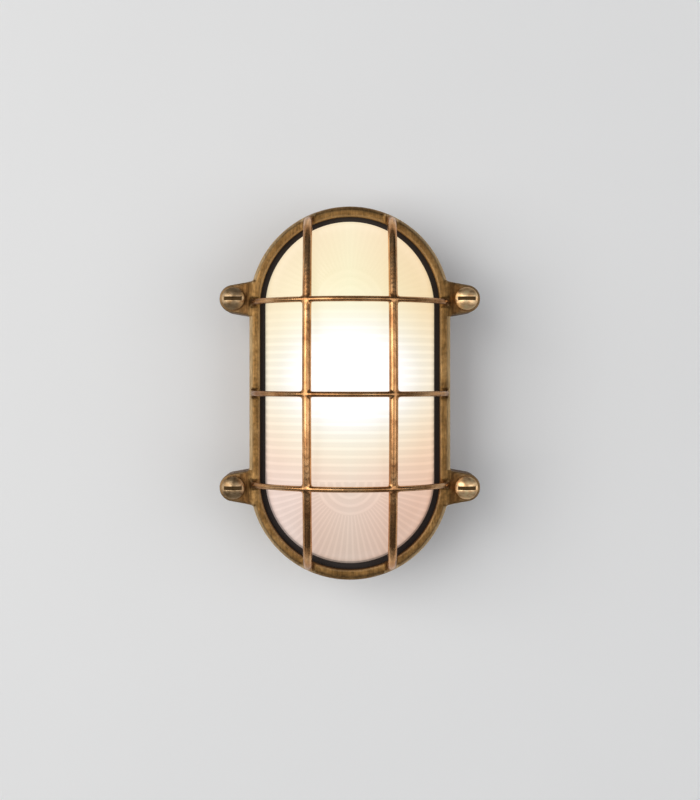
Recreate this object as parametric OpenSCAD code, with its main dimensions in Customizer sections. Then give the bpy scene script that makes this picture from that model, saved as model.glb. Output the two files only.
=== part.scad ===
// Oval cast-brass bulkhead light. A deep wall box and a barred guard clamp a ribbed glass dome
// in a rubber channel, and four slotted screws through the lugs hold them together. Inside, a
// screw lamp stands in a porcelain holder on a folded bracket, wired to a terminal block.
//
// Each piece is drawn with Z out of the wall and Y up the wall, about the centre of the wall face.
// on_wall() then stands it up, so that the finished light faces -Y with +Z up.

/* [Outline] */
// Height of the oval rim
body_h = 240; // [232:1:264]
// Width of the oval rim
body_w = 129; // [126:1:140]

/* [Wall box] */
// Wall to the joint between box and guard
box_depth = 50; // [46:1:60]
// Thickness of the box sides
side_t = 4.5; // [3.5:0.5:5.5]
// Thickness of the box back
back_t = 4; // [3:0.5:6]
// Height of the thick band round the mouth of the box
band_h = 12; // [10:1:16]
// How far the sides stand in from the band
side_inset = 3.5; // [2.5:0.5:4]
// Taper of the sides from the band to the wall
side_draft = 1.5; // [0.5:0.5:3]
// Depth of the recess that seats the gasket
recess_depth = 4; // [3:0.5:5]
// Thickness of the band and guard rim outside the gasket
rim_t = 3.7; // [3:0.1:4.5]

/* [Guard] */
// Width of the rim face seen from the front
ring_w = 6.8; // [6:0.1:8]
// Joint to the front of the rim face
ring_depth = 12; // [11:0.5:15]
// Bevel round the outer edge of the rim face
ring_bevel = 2.4; // [1:0.1:3]
// Wall to the front of the middle cross bar
projection = 110; // [106:1:118]
// Thickness of the two upright bars
upright_d = 5.8; // [4.5:0.1:6.5]
// Thickness of the three cross bars
cross_d = 3.7; // [3:0.1:5]
// Spacing of the upright bars
upright_pitch = 53; // [44:1:58]
// Spacing of the cross bars
cross_pitch = 58.2; // [54:0.1:62]
// How far the cross bars' centres stand in front of the uprights'
bar_proud = 1.4; // [0.8:0.1:2]
// Rim edge to the bar roots
root_inset = 1; // [0.8:0.1:1.5]
// Shoulder radius of the middle cross bar
middle_shoulder = 30; // [24:1:34]
// Shoulder radius of the upper and lower cross bars
outer_shoulder = 24; // [20:1:28]
// Shoulder radius of the upright bars
upright_shoulder = 26; // [20:1:30]
// Height of the foot at each bar end, over the rim face
root_h = 3; // [2:0.5:5]
// How far each foot spreads on both sides of its bar
root_flare = 1.6; // [0.8:0.1:2]

/* [Lugs and guard screws] */
// Rim edge to the screw centres
lug_reach = 10.4; // [10:0.2:14]
// Screw centres beyond the start of the round ends
lug_rise = 5.2; // [3:0.2:9]
// Radius of the lug ends
lug_r = 9; // [8:0.5:10]
// Width of a lug where it meets the rim
lug_root = 23; // [20:0.5:26]
// Rim face to the screw seat behind it, reached by a slope
lug_step = 3; // [2.4:0.2:6]
// Thickness of the box lugs
box_lug_t = 14; // [10:1:18]
// Height of the web under each box lug
lug_web_h = 20; // [14:1:24]
// Thickness of that web
lug_web_t = 7; // [5:0.5:9]
// Guard screw thread diameter
screw_d = 6; // [5:0.5:6.5]
// Guard screw length under the head
screw_l = 19; // [15:1:20]
// Guard screw head diameter
head_d = 14.6; // [12:0.2:15.4]
// Guard screw head height at its crown
head_h = 5.2; // [4:0.2:6]
// Height of the head's straight edge
head_edge = 2.4; // [1.5:0.1:3]
// Width of the screw slot
slot_w = 2.4; // [1.6:0.2:3]
// Depth of the screw slot
slot_deep = 2.2; // [1.2:0.1:2.6]

/* [Glass and gasket] */
// Thickness of the glass dome
glass_t = 4; // [3:0.5:5]
// Black gasket showing between rim and glass
gasket_show = 4.4; // [3.6:0.2:5]
// How far above centre the glass has settled in its gasket
glass_lift = 1; // [0:0.1:1.2]
// Thickness of the glass flange
flange_t = 5; // [4:0.5:6]
// Thickness of each gasket lip
lip_t = 2.4; // [1.6:0.2:3]
// Thickness of the gasket outside the flange
web_t = 2; // [1.5:0.1:2.4]
// Gap between the glass and the upper and lower cross bars
bar_gap = 8; // [7.5:0.5:10]
// Shoulder radius of the dome
dome_shoulder = 22; // [16:1:24]
// Spacing of the ribs across the straight part
rib_pitch = 5; // [4:0.25:7]
// Height of the ribs and flutes
rib_h = 0.6; // [0.3:0.1:0.8]
// Share of each pitch that is rib
rib_share = 0.5; // [0.35:0.05:0.65]
// Flutes in each round end
flute_count = 36; // [24:1:44]
// Radius of the ringed boss where the flutes meet
boss_r = 21; // [16:0.5:24]

/* [Wall fixing] */
// Spacing of the two wall screw holes
fixing_pitch = 80; // [74:1:84]
// Wall screw hole diameter
fixing_d = 5.5; // [4.5:0.5:6]
// Cable hole through the grommet
cable_d = 9; // [7:0.5:10]
// Hole in the box back for the grommet
grommet_hole_d = 16; // [15:0.5:18]
// How far the cable hole is above the middle
cable_y = 53; // [48:1:56]

/* [Lamp and holder] */
// Diameter of the lamp globe
globe_d = 60; // [50:1:62]
// Overall length of the lamp
lamp_l = 105; // [95:1:108]
// Lamp axis in front of the wall
lamp_z = 50; // [46:1:52]
// Holder foot below the start of the lower round end
holder_drop = 15; // [13:1:20]
// Height of the porcelain holder
holder_l = 50; // [48:1:54]
// Diameter of the porcelain holder
holder_d = 40; // [38:0.5:44]
// Thickness of the folded bracket
bracket_t = 1.5; // [1:0.1:2]
// Width of the bracket
bracket_w = 38; // [36:1:42]
// Length of the bracket foot
bracket_foot = 22; // [20:1:26]
// Height of the bosses that carry bracket and terminal block
boss_h = 10; // [8:0.5:12]

/* [Terminals and wires] */
// Spacing of the terminal poles
pole_pitch = 13; // [12:0.5:14]
// Centre of the terminal block beyond the start of the upper round end
block_rise = 31; // [28:0.5:34]
// Diameter of the sleeved wires
wire_d = 2.6; // [1.8:0.1:2.8]

/* [Hidden] */
$fn = 96;

// Clearance of a screw in its tapped hole
thread_fit = 0.05;
// Clearance of a screw in a plain hole
hole_fit = 0.25;
// Clearance of rubber and glass in their seats
seat_fit = 0.2;
// Overlap that joins shapes of one casting
weld = 1;
// A shoulder is this much stouter than the arc it runs into, and reaches past its end by this angle
swell = 0.05;
lap = 1;
// Longer than any piece, for cuts that go right through
far = 400;

// The oval: a straight middle with half-round ends
rim_r = body_w / 2;
half_l = (body_h - body_w) / 2;

// Levels out from the wall
joint_z = box_depth;
face_z = joint_z + ring_depth;
seat_z = joint_z - recess_depth;
flange_z = seat_z + lip_t;
lip_z = flange_z + flange_t;
under_z = lip_z + lip_t;
lug_z = face_z - lug_step;
boss_z = back_t + boss_h;

// Radii of the oval layers
ring_in = rim_r - ring_w;
recess_r = rim_r - rim_t;
side_r = rim_r - side_inset;
foot_r = side_r - side_draft;
box_in = side_r - side_t;
gasket_r = recess_r - seat_fit;
channel_r = gasket_r - web_t;
flange_r = channel_r - glass_lift - seat_fit;
glass_r = ring_in - gasket_show;
lip_r = glass_r + glass_lift + seat_fit;

// Guard screws
screw_x = rim_r + lug_reach;
screw_y = half_l + lug_rise;

// A bar is a three-centred arch: its crown radius follows from half span, rise and shoulder radius
function crown_r(span, rise, shoulder) =
    ((span - shoulder) ^ 2 + rise ^ 2 - shoulder ^ 2) / (2 * (rise - shoulder));
function crown_z(x, span, rise, shoulder) =
    let (r = crown_r(span, rise, shoulder)) rise - r + sqrt(r ^ 2 - x ^ 2);
// The rise that brings the arch to a given height at x
function rise_to(z, x, span, shoulder, rise, tries) =
    tries == 0 ? rise
    : rise_to(z, x, span, shoulder, z + rise - crown_z(x, span, rise, shoulder), tries - 1);

// Half span of a bar of thickness d that crosses the oval at distance y from its middle
function cross_span(y, d) =
    let (r = rim_r - root_inset - d / 2, past = max(0, abs(y) - half_l)) sqrt(r ^ 2 - past ^ 2);
function upright_span(x, d) = half_l + sqrt((rim_r - root_inset - d / 2) ^ 2 - x ^ 2);

spring_z = face_z - 2;
root_sunk = 2;
// Feet: how deep they sit in the rim, how far from its edges, and how far their tops lie within the bars
root_in = 1.2;
root_edge = 0.4;
root_top = 0.6;
upright_x = upright_pitch / 2;
middle_span = cross_span(0, cross_d);
outer_span = cross_span(cross_pitch, cross_d);
long_span = upright_span(upright_x, upright_d);
middle_rise = projection - cross_d / 2 - spring_z;
upright_rise = crown_z(upright_x, middle_span, middle_rise, middle_shoulder) - bar_proud;
outer_meet = crown_z(cross_pitch, long_span, upright_rise, upright_shoulder) + bar_proud;
outer_rise = rise_to(outer_meet, upright_x, outer_span, outer_shoulder, outer_meet, 8);

// The glass stays behind the lower of the cross bars
dome_rise = outer_rise - cross_d / 2 - bar_gap - rib_h;
dome_crown = crown_r(glass_r, dome_rise, dome_shoulder);
dome_lean = atan2(dome_crown - dome_rise, glass_r - dome_shoulder);
rib_base_z = spring_z - 1;

// Lamp holder
holder_y = -half_l - holder_drop;
lamp_seat = 20;
cap_r = 13;
cap_l = 27;
shell_t = 0.7;
shell_r = cap_r + 1.6;
shell_l = 24;
shell_step = 21;
contact_floor = 14;
contact_t = 0.7;
contact_w = 7;
post_r = 2.6;
post_z = 10;
post_drop = 6;
wire_h = 3.6;
holder_screw_x = 11.5;
fix_in = 7;
bracket_screw_x = 12;
bracket_top = lamp_z + holder_d / 2 - 3;
foot_y = holder_y - bracket_t - bracket_foot / 2 - 1;

// Small machine screws: thread diameter, head diameter and head height
m4 = [4, 7, 2.6];
m3 = [3, 5, 2];

// Terminal block
block_y = half_l + block_rise;
block_w = 3 * pole_pitch;
block_depth = 17;
block_low = 8;
pole_w = 8;
pole_top = 15;
tube_r = 2.5;
tube_bore = wire_d / 2 + 0.25;
tube_l = block_depth - 2;
tube_z = boss_z + 6;
clamp_d = 2.6;
clamp_l = 5.5;
clamp_y = 4.6;
block_screw_x = pole_pitch / 2;

// Earth point
earth_x = 32;
earth_y = half_l + 3;
earth_boss_h = 8;
earth_z = back_t + earth_boss_h;
tag_t = 0.8;
washer_t = 0.8;
barrel_l = 8;
barrel_r = wire_d / 2 + 0.7;
barrel_turn = 120;
barrel_out = 4;
earth_bow = 7;

// Stands a piece that was drawn flat against the wall upright, facing -Y
module on_wall() {
    rotate([90, 0, 0]) children();
}

// Carries a section, drawn as radius and height, all the way round the oval
module around() {
    for (end = [0, 180])
        rotate([0, 0, end]) translate([0, half_l, 0]) rotate_extrude(angle = 180) children();
    for (side = [0, 180])
        rotate([0, 0, side]) translate([0, half_l, 0]) rotate([90, 0, 0])
            linear_extrude(2 * half_l) children();
}

// Solid oval plate between two levels
module plate(r, z0, z1) {
    around() translate([0, z0]) square([r, z1 - z0]);
}

// Flat sector of a ring, for sections with true arcs. Its two ends are under 180 degrees apart
module arc_band(r_in, r_out, from, to) {
    reach = 3 * r_out;
    intersection() {
        difference() {
            circle(r_out);
            circle(r_in);
        }
        polygon([
            [0, 0],
            reach * [cos(from), sin(from)],
            reach * [cos((from + to) / 2), sin((from + to) / 2)],
            reach * [cos(to), sin(to)]
        ]);
    }
}

module at_lugs() {
    for (x = [-1, 1], y = [-1, 1])
        translate([x * screw_x, y * screw_y, 0]) children();
}

// Lug outline about its screw, for the lug on the right: a round end whose sides run into it
module lug_outline() {
    root = [-lug_reach - ring_bevel - 0.5, lug_root / 2];
    hug_r = lug_r - swell;
    aim = atan2(root.y, root.x) - acos(hug_r / norm(root));
    touch = hug_r * [cos(aim), sin(aim)];
    circle(lug_r);
    polygon([root, touch, [touch.x, -touch.y], [root.x, -root.y]]);
}

module lugs(z0, z1) {
    for (x = [0, 1], y = [-1, 1])
        rotate([0, 0, 180 * x]) translate([screw_x, y * screw_y, z0])
            linear_extrude(z1 - z0) lug_outline();
}

// Guard lugs: each slopes from the rim's face down to the seat of its screw
module guard_lugs() {
    from = -lug_reach - ring_bevel;
    to = -head_d / 2 - 0.5;
    intersection() {
        lugs(joint_z, face_z);
        for (side = [0, 180]) rotate([0, 0, side]) translate([screw_x, 0, 0]) rotate([90, 0, 0])
            linear_extrude(far, center = true) polygon([
                [from - 2 * weld, joint_z - weld], [from - 2 * weld, face_z - swell], [from, face_z - swell],
                [to, lug_z], [lug_r + weld, lug_z], [lug_r + weld, joint_z - weld]
            ]);
    }
}

// Round bar bent to a three-centred arch, standing on the X axis with its rise along Y. Its ends
// go on a little below the axis, into the rim
module arch(span, rise, shoulder, d) {
    crown = crown_r(span, rise, shoulder);
    lean = atan2(crown - rise, span - shoulder);
    sunk = asin(root_sunk / shoulder);
    translate([0, rise - crown, 0]) rotate([0, 0, lean])
        rotate_extrude(angle = 180 - 2 * lean) translate([crown, 0]) circle(d = d);
    for (side = [0, 180]) rotate([0, side, 0]) translate([span - shoulder, 0, 0])
        rotate([0, 0, -sunk]) rotate_extrude(angle = sunk + lean + lap)
            translate([shoulder, 0]) circle(d = d + 2 * swell);
}

// Ridge along each end of a bar, wide on the rim and narrower than the bar at its top
module bar_ridges(span, d) {
    low = d / 2 + root_flare;
    high = d / 2 - root_top;
    for (side = [-1, 1]) translate([side * span, 0, 0]) rotate([90, 0, 90])
        linear_extrude(4 * ring_w, center = true) polygon([
            [-low, face_z - root_in], [low, face_z - root_in],
            [high, face_z + root_h], [-high, face_z + root_h]
        ]);
}

// Feet of all bars: the part of the ridges over the rim, from its inner edge to its outer one
module bar_feet() {
    inner = ring_in + root_edge;
    outer = rim_r - root_edge;
    intersection() {
        around() polygon([
            [inner, face_z - root_in], [outer, face_z - ring_bevel], [outer, face_z - root_edge],
            [outer - root_in, face_z + root_h], [inner + root_in, face_z + root_h], [inner, face_z]
        ]);
        union() {
            bar_ridges(middle_span, cross_d);
            for (y = [-1, 1]) translate([0, y * cross_pitch, 0]) bar_ridges(outer_span, cross_d);
            for (x = [-1, 1]) translate([x * upright_x, 0, 0]) rotate([0, 0, 90])
                bar_ridges(long_span, upright_d);
        }
    }
}

module cross_bar(y, span, rise, shoulder) {
    translate([0, y, spring_z]) rotate([90, 0, 0]) arch(span, rise, shoulder, cross_d);
}

module upright_bar(x) {
    translate([x, 0, spring_z]) rotate([90, 0, 90])
        arch(long_span, upright_rise, upright_shoulder, upright_d);
}

// Machine screw with a round slotted head, seated on Z = 0 with its shank along -Z
module slotted_screw(size, length, slot) {
    difference() {
        union() {
            translate([0, 0, -length]) cylinder(d = size[0], h = length);
            intersection() {
                cylinder(d = size[1], h = size[2]);
                translate([0, 0, size[2] - size[1]]) sphere(size[1]);
            }
        }
        translate([0, 0, size[2]]) cube([size[1] + weld, slot, size[2]], center = true);
    }
}

module washer(d_in, d_out, t) {
    difference() {
        cylinder(d = d_out, h = t);
        translate([0, 0, -weld]) cylinder(d = d_in, h = t + 2 * weld);
    }
}

// Boss on the back of the box with a blind tapped hole
module boss(x, y, r, top) {
    translate([x, y, back_t - weld]) cylinder(r = r, h = top - back_t + weld);
}

module boss_hole(x, y, d, top) {
    translate([x, y, back_t]) cylinder(d = d + 2 * thread_fit, h = top);
}

// Wall box: a deep oval dish with a recessed mouth, four lugs, and bosses for what it carries
module box_casting() {
    color("#8a6a3c") difference() {
        union() {
            around() polygon([
                [0, 0], [foot_r, 0], [side_r, joint_z - band_h - side_inset],
                [rim_r, joint_z - band_h], [rim_r, joint_z], [0, joint_z]
            ]);
            lugs(joint_z - box_lug_t, joint_z);
            for (x = [0, 1], y = [-1, 1])
                rotate([0, 0, 180 * x]) translate([0, y * screw_y + lug_web_t / 2, 0])
                    rotate([90, 0, 0]) linear_extrude(lug_web_t) lug_web();
        }
        difference() {
            plate(box_in, back_t, joint_z + weld);
            box_bosses();
        }
        plate(recess_r, seat_z, joint_z + weld);
        at_lugs() translate([0, 0, joint_z - far / 2]) cylinder(d = screw_d + 2 * thread_fit, h = far);
        box_holes();
    }
}

// Web under a box lug, seen from the side: it runs from the lug down to the box side
module lug_web() {
    top = joint_z - box_lug_t;
    end = screw_x - screw_d / 2 - 1.5;
    polygon([
        [box_in + weld, top + weld], [end, top + weld], [end, top],
        [foot_r, top - lug_web_h], [box_in + weld, top - lug_web_h]
    ]);
}

module box_bosses() {
    for (x = [-1, 1]) boss(x * bracket_screw_x, foot_y, m4[0] / 2 + 3, boss_z);
    for (x = [-1, 1]) boss(x * block_screw_x, block_y, m3[0] / 2 + 2.5, boss_z);
    boss(earth_x, earth_y, m4[0] / 2 + 3, earth_z);
}

module box_holes() {
    for (x = [-1, 1]) boss_hole(x * bracket_screw_x, foot_y, m4[0], boss_z);
    for (x = [-1, 1]) boss_hole(x * block_screw_x, block_y, m3[0], boss_z);
    boss_hole(earth_x, earth_y, m4[0], earth_z);
    for (x = [-1, 1]) translate([x * fixing_pitch / 2, 0, -weld])
        cylinder(d = fixing_d, h = back_t + 2 * weld);
    translate([0, cable_y, -weld]) cylinder(d = grommet_hole_d, h = back_t + 2 * weld);
}

// Guard: the oval rim, its lugs and the five bars, cast in one
module guard_casting() {
    color("#9a7440") {
        difference() {
            union() {
                around() polygon([
                    [0, joint_z], [rim_r, joint_z], [rim_r, face_z - ring_bevel],
                    [rim_r - ring_bevel, face_z], [0, face_z]
                ]);
                guard_lugs();
            }
            plate(ring_in, joint_z - weld, face_z + weld);
            plate(recess_r, joint_z - weld, under_z);
            at_lugs() translate([0, 0, joint_z - weld])
                cylinder(d = screw_d + 2 * hole_fit, h = far);
        }
        cross_bar(0, middle_span, middle_rise, middle_shoulder);
        for (y = [-1, 1]) cross_bar(y * cross_pitch, outer_span, outer_rise, outer_shoulder);
        for (x = [-1, 1]) upright_bar(x * upright_x);
        bar_feet();
    }
}

// Section through one side of the dome: wall, shoulder and crown, moved outwards by out
module dome_section(out, thick) {
    translate([glass_r + out - thick, flange_z]) square([thick, spring_z - flange_z]);
    translate([glass_r - dome_shoulder, spring_z])
        arc_band(dome_shoulder + out - thick - swell, dome_shoulder + out + swell, 0, dome_lean + lap);
    translate([0, spring_z + dome_rise - dome_crown])
        arc_band(dome_crown + out - thick, dome_crown + out, dome_lean, 90);
}

// Plan of the pressed pattern: straight ribs, a fan of flutes at each end, and rings where they meet
module rib_plan() {
    rows = floor(half_l / rib_pitch - rib_share);
    for (i = [-rows : rows])
        translate([0, i * rib_pitch]) square([2 * rim_r, rib_share * rib_pitch], center = true);
    for (end = [0, 180]) rotate(end) translate([0, half_l]) {
        step = 180 / flute_count;
        difference() {
            for (i = [0 : flute_count - 1]) rotate((i + 0.5) * step) polygon([
                [0, 0], rim_r * [1, tan(rib_share * step / 2)], rim_r * [1, -tan(rib_share * step / 2)]
            ]);
            circle(boss_r);
        }
        intersection() {
            for (r = [boss_r : -rib_pitch : rib_pitch]) difference() {
                circle(r);
                circle(r - rib_share * rib_pitch);
            }
            translate([-rim_r, 0]) square([2 * rim_r, rim_r]);
        }
    }
}

// Pressed glass: a flanged dome with ribs and flutes on its outer face
module glass_dome() {
    color("#f3e6d6") translate([0, glass_lift, 0]) {
        around() {
            translate([glass_r - glass_t, flange_z]) square([flange_r - glass_r + glass_t, flange_t]);
            dome_section(0, glass_t);
        }
        intersection() {
            around() dome_section(rib_h, rib_h + glass_t / 2);
            translate([0, 0, rib_base_z]) linear_extrude(projection) rib_plan();
        }
    }
}

// Rubber channel round the glass flange. Its front lip is the black line inside the rim
module glass_gasket() {
    color("#15120f") around() difference() {
        translate([lip_r, seat_z]) square([gasket_r - lip_r, under_z - seat_z]);
        translate([0, flange_z]) square([channel_r, flange_t]);
    }
}

// Guard screws: turned brass, with a broad low-domed head and a slot right across it
module guard_screws() {
    crown = (head_d / 2) ^ 2 / (2 * (head_h - head_edge)) + (head_h - head_edge) / 2;
    color("#c9a063") at_lugs() translate([0, 0, lug_z]) difference() {
        union() {
            translate([0, 0, -screw_l]) cylinder(d = screw_d, h = screw_l);
            intersection() {
                cylinder(d = head_d, h = head_h);
                translate([0, 0, head_h - crown]) sphere(crown);
            }
        }
        translate([0, 0, head_h]) cube([head_d + weld, slot_w, 2 * slot_deep], center = true);
    }
}

// Places a turned piece on the lamp axis, with its own Z axis up the wall
module on_lamp_axis() {
    translate([0, holder_y, lamp_z]) rotate([-90, 0, 0]) children();
}

// Screw lamp: frosted globe, ridged cap and end contact
module lamp() {
    globe_h = lamp_l - globe_d / 2;
    neck = globe_d / 2 * [cos(35), -sin(35)];
    color("#fff3d8") on_lamp_axis() translate([0, 0, lamp_seat]) rotate_extrude() intersection() {
        union() {
            translate([0, globe_h]) circle(d = globe_d);
            polygon([
                [0, 0], [4.5, 0], [5.5, 1.2], [cap_r - 1.5, 4], [cap_r - 0.5, 6], [cap_r - 0.5, cap_l],
                [cap_r + 1, cap_l + 2], [neck.x, globe_h + neck.y], [0, globe_h]
            ]);
            for (i = [0 : 4]) translate([cap_r - 0.7, 8.5 + 3.6 * i]) circle(r = 0.95, $fn = 24);
        }
        square([globe_d, lamp_l]);
    }
}

// Porcelain holder: a stepped body bored for the screw shell
module holder_body() {
    color("#f0ede4") on_lamp_axis() difference() {
        rotate_extrude() polygon([
            [0, 0], [holder_d / 2 - 3, 0], [holder_d / 2 - 3, 12], [holder_d / 2, 15],
            [holder_d / 2, holder_l - 2], [holder_d / 2 - 2, holder_l], [0, holder_l]
        ]);
        translate([0, 0, contact_floor]) cylinder(r = shell_r - 2, h = far);
        translate([0, 0, shell_step]) cylinder(r = shell_r + seat_fit, h = far);
        for (x = [-1, 1]) translate([x * holder_screw_x, 0, -weld])
            cylinder(d = m4[0] + 2 * thread_fit, h = fix_in + weld + weld);
        for (y = [-1, 1]) translate([0, y * post_z, -weld])
            cylinder(r = post_r + thread_fit, h = fix_in + weld);
    }
}

// Screw shell: a rolled sleeve that stands on the step in the bore
module holder_shell() {
    color("#c9b27a") on_lamp_axis() translate([0, 0, shell_step]) difference() {
        cylinder(r = shell_r, h = shell_l);
        translate([0, 0, -weld]) cylinder(r = shell_r - shell_t, h = shell_l + 2 * weld);
    }
}

// Centre contact: a spring leaf folded back on itself under the lamp tip
module centre_contact() {
    leaf = 4;
    fold = (lamp_seat - contact_floor) / 2;
    color("#c8903f") on_lamp_axis() translate([0, contact_w / 2, contact_floor]) rotate([90, 0, 0])
        linear_extrude(contact_w) {
            translate([-leaf - 2, 0]) square([2 * leaf + 2, contact_t]);
            translate([-leaf, 2 * fold - contact_t]) square([2 * leaf, contact_t]);
            translate([leaf, fold]) {
                arc_band(fold - contact_t, fold, -90, 0);
                arc_band(fold - contact_t, fold, 0, 90);
            }
        }
}

// Terminal posts under the holder, cross-drilled for the wires
module holder_posts() {
    color("#c9a063") on_lamp_axis() for (y = [-1, 1]) translate([0, y * post_z, 0]) difference() {
        translate([0, 0, -post_drop]) cylinder(r = post_r, h = post_drop + fix_in);
        translate([0, 0, -wire_h]) rotate([0, 90, 0])
            cylinder(d = wire_d + 2 * seat_fit, h = far, center = true);
        translate([0, 0, -post_drop - weld]) cylinder(r = 1.05, h = weld + 1.2);
    }
}

module post_screws() {
    color("#d8b878") on_lamp_axis() for (y = [-1, 1]) translate([0, y * post_z, -post_drop])
        rotate([180, 0, 0]) slotted_screw([2, 4, 1.5], 1, 0.6);
}

// Folded angle: its foot is on the box bosses and its upright carries the holder
module holder_bracket() {
    bend = 2 * bracket_t;
    color("#b9bcc0") difference() {
        translate([-bracket_w / 2, holder_y - bracket_t, boss_z]) rotate([90, 0, 90])
            linear_extrude(bracket_w) {
                translate([bracket_t - bend, bend]) arc_band(bend - bracket_t, bend, -90, 0);
                translate([-bracket_foot, 0]) square([bracket_foot + bracket_t - bend, bracket_t]);
                translate([0, bend]) square([bracket_t, bracket_top - boss_z - bend]);
            }
        for (x = [-1, 1]) translate([x * bracket_screw_x, foot_y, boss_z - weld])
            cylinder(d = m4[0] + 2 * hole_fit, h = bracket_t + 2 * weld);
        on_lamp_axis() {
            for (x = [-1, 1]) translate([x * holder_screw_x, 0, -far / 2])
                cylinder(d = m4[0] + 2 * hole_fit, h = far);
            for (y = [-1, 1]) translate([0, y * post_z, -far / 2]) cylinder(r = post_r + 1.5, h = far);
        }
    }
}

module holder_screws() {
    color("#c9ccd0") on_lamp_axis() for (x = [-1, 1]) translate([x * holder_screw_x, 0, -bracket_t])
        rotate([180, 0, 0]) slotted_screw(m4, bracket_t + fix_in, 1);
}

module bracket_screws() {
    color("#c9ccd0") for (x = [-1, 1])
        translate([x * bracket_screw_x, foot_y, boss_z + bracket_t + washer_t])
            slotted_screw(m4, bracket_t + washer_t + boss_h - 2, 1);
}

module bracket_washers() {
    color("#a8abb0") for (x = [-1, 1])
        translate([x * bracket_screw_x, foot_y, boss_z + bracket_t])
            washer(m4[0] + 2 * hole_fit, m4[1] + 1, washer_t);
}

module at_poles() {
    for (i = [-1 : 1]) translate([i * pole_pitch, block_y, boss_z]) children();
}

// Terminal block: a low strip with a raised barrel over each pole
module terminal_block() {
    color("#ece7da") difference() {
        union() {
            translate([-block_w / 2, block_y - block_depth / 2, boss_z])
                cube([block_w, block_depth, block_low]);
            at_poles() translate([0, block_depth / 2, 0]) rotate([90, 0, 0]) linear_extrude(block_depth) {
                translate([-pole_w / 2, 0]) square([pole_w, pole_top - pole_w / 2]);
                translate([0, pole_top - pole_w / 2]) circle(d = pole_w);
            }
        }
        at_poles() {
            translate([0, 0, tube_z - boss_z]) rotate([90, 0, 0])
                cylinder(r = tube_r + seat_fit, h = far, center = true);
            for (y = [-1, 1]) translate([0, y * clamp_y, tube_z - boss_z])
                cylinder(d = clamp_d + 0.8, h = far);
        }
        for (x = [-1, 1]) translate([x * block_screw_x, block_y, boss_z - weld])
            cylinder(d = m3[0] + 2 * hole_fit, h = far);
    }
}

module terminal_tubes() {
    color("#c9a063") at_poles() translate([0, 0, tube_z - boss_z]) difference() {
        rotate([90, 0, 0]) cylinder(r = tube_r, h = tube_l, center = true);
        rotate([90, 0, 0]) cylinder(r = tube_bore, h = far, center = true);
        for (y = [-1, 1]) translate([0, y * clamp_y, 0]) cylinder(d = clamp_d + 2 * thread_fit, h = far);
    }
}

module clamp_screws() {
    color("#c9ccd0") at_poles() for (y = [-1, 1])
        translate([0, y * clamp_y, tube_z - boss_z + wire_d / 2]) difference() {
            cylinder(d = clamp_d, h = clamp_l);
            translate([0, 0, clamp_l]) cube([clamp_d + weld, 0.6, 1.6], center = true);
        }
}

module block_screws() {
    color("#c9ccd0") for (x = [-1, 1]) translate([x * block_screw_x, block_y, boss_z + block_low])
        slotted_screw(m3, block_low + boss_h - 2, 0.8);
}

module earth_screw() {
    color("#c9a063") translate([earth_x, earth_y, earth_z + tag_t + washer_t])
        slotted_screw(m4, tag_t + washer_t + earth_boss_h - 2, 1);
}

module earth_washer() {
    color("#a8abb0") translate([earth_x, earth_y, earth_z + tag_t])
        washer(m4[0] + 2 * hole_fit, m4[1] + 1, washer_t);
}

// Crimped ring tag: the ring lies on the earth boss and its barrel points at the terminal block
module earth_tag() {
    ring_r = m4[1] / 2 + 0.8;
    color("#cfd2d4") translate([earth_x, earth_y, earth_z]) rotate([0, 0, barrel_turn]) difference() {
        union() {
            cylinder(r = ring_r, h = tag_t);
            translate([0, -barrel_r, 0]) cube([ring_r + barrel_out, 2 * barrel_r, tag_t]);
            translate([ring_r + barrel_out - weld, 0, barrel_r]) rotate([0, 90, 0])
                cylinder(r = barrel_r, h = barrel_l);
        }
        translate([0, 0, -weld]) cylinder(d = m4[0] + 2 * hole_fit, h = far);
        translate([ring_r + barrel_out, 0, barrel_r]) rotate([0, 90, 0])
            cylinder(d = wire_d + 2 * seat_fit, h = far);
    }
}

// A wire follows a smooth curve through its points, as a tube with flat ends
function bend_point(p, i, t) =
    let (a = p[max(0, i - 1)], b = p[i], c = p[i + 1], d = p[min(len(p) - 1, i + 2)])
    b + t * ((c - a) / 2 + t * ((2 * a - 5 * b + 4 * c - d) / 2 + t * (3 * b - 3 * c + d - a) / 2));
function bend_path(p, steps) = concat(
    [for (i = [0 : len(p) - 2], k = [0 : steps - 1]) bend_point(p, i, k / steps)], [p[len(p) - 1]]
);
function unit(v) = v / norm(v);

module wire(points) {
    sides = 8;
    path = bend_path(points, 3);
    last = len(path) - 1;
    rings = [for (i = [0 : last])
        let (
            along = unit(path[min(last, i + 1)] - path[max(0, i - 1)]),
            across = unit(cross(along, [0, 0, 1])),
            up = cross(across, along)
        )
        for (k = [0 : sides - 1])
            path[i] + wire_d / 2 * (cos(360 * k / sides) * across + sin(360 * k / sides) * up)
    ];
    skin = [for (i = [0 : last - 1], k = [0 : sides - 1])
        let (n = (k + 1) % sides)
        [i * sides + k, (i + 1) * sides + k, (i + 1) * sides + n, i * sides + n]
    ];
    ends = [[for (k = [0 : sides - 1]) k], [for (k = [sides - 1 : -1 : 0]) last * sides + k]];
    polyhedron(rings, concat(skin, ends), convexity = 8);
}

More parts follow.
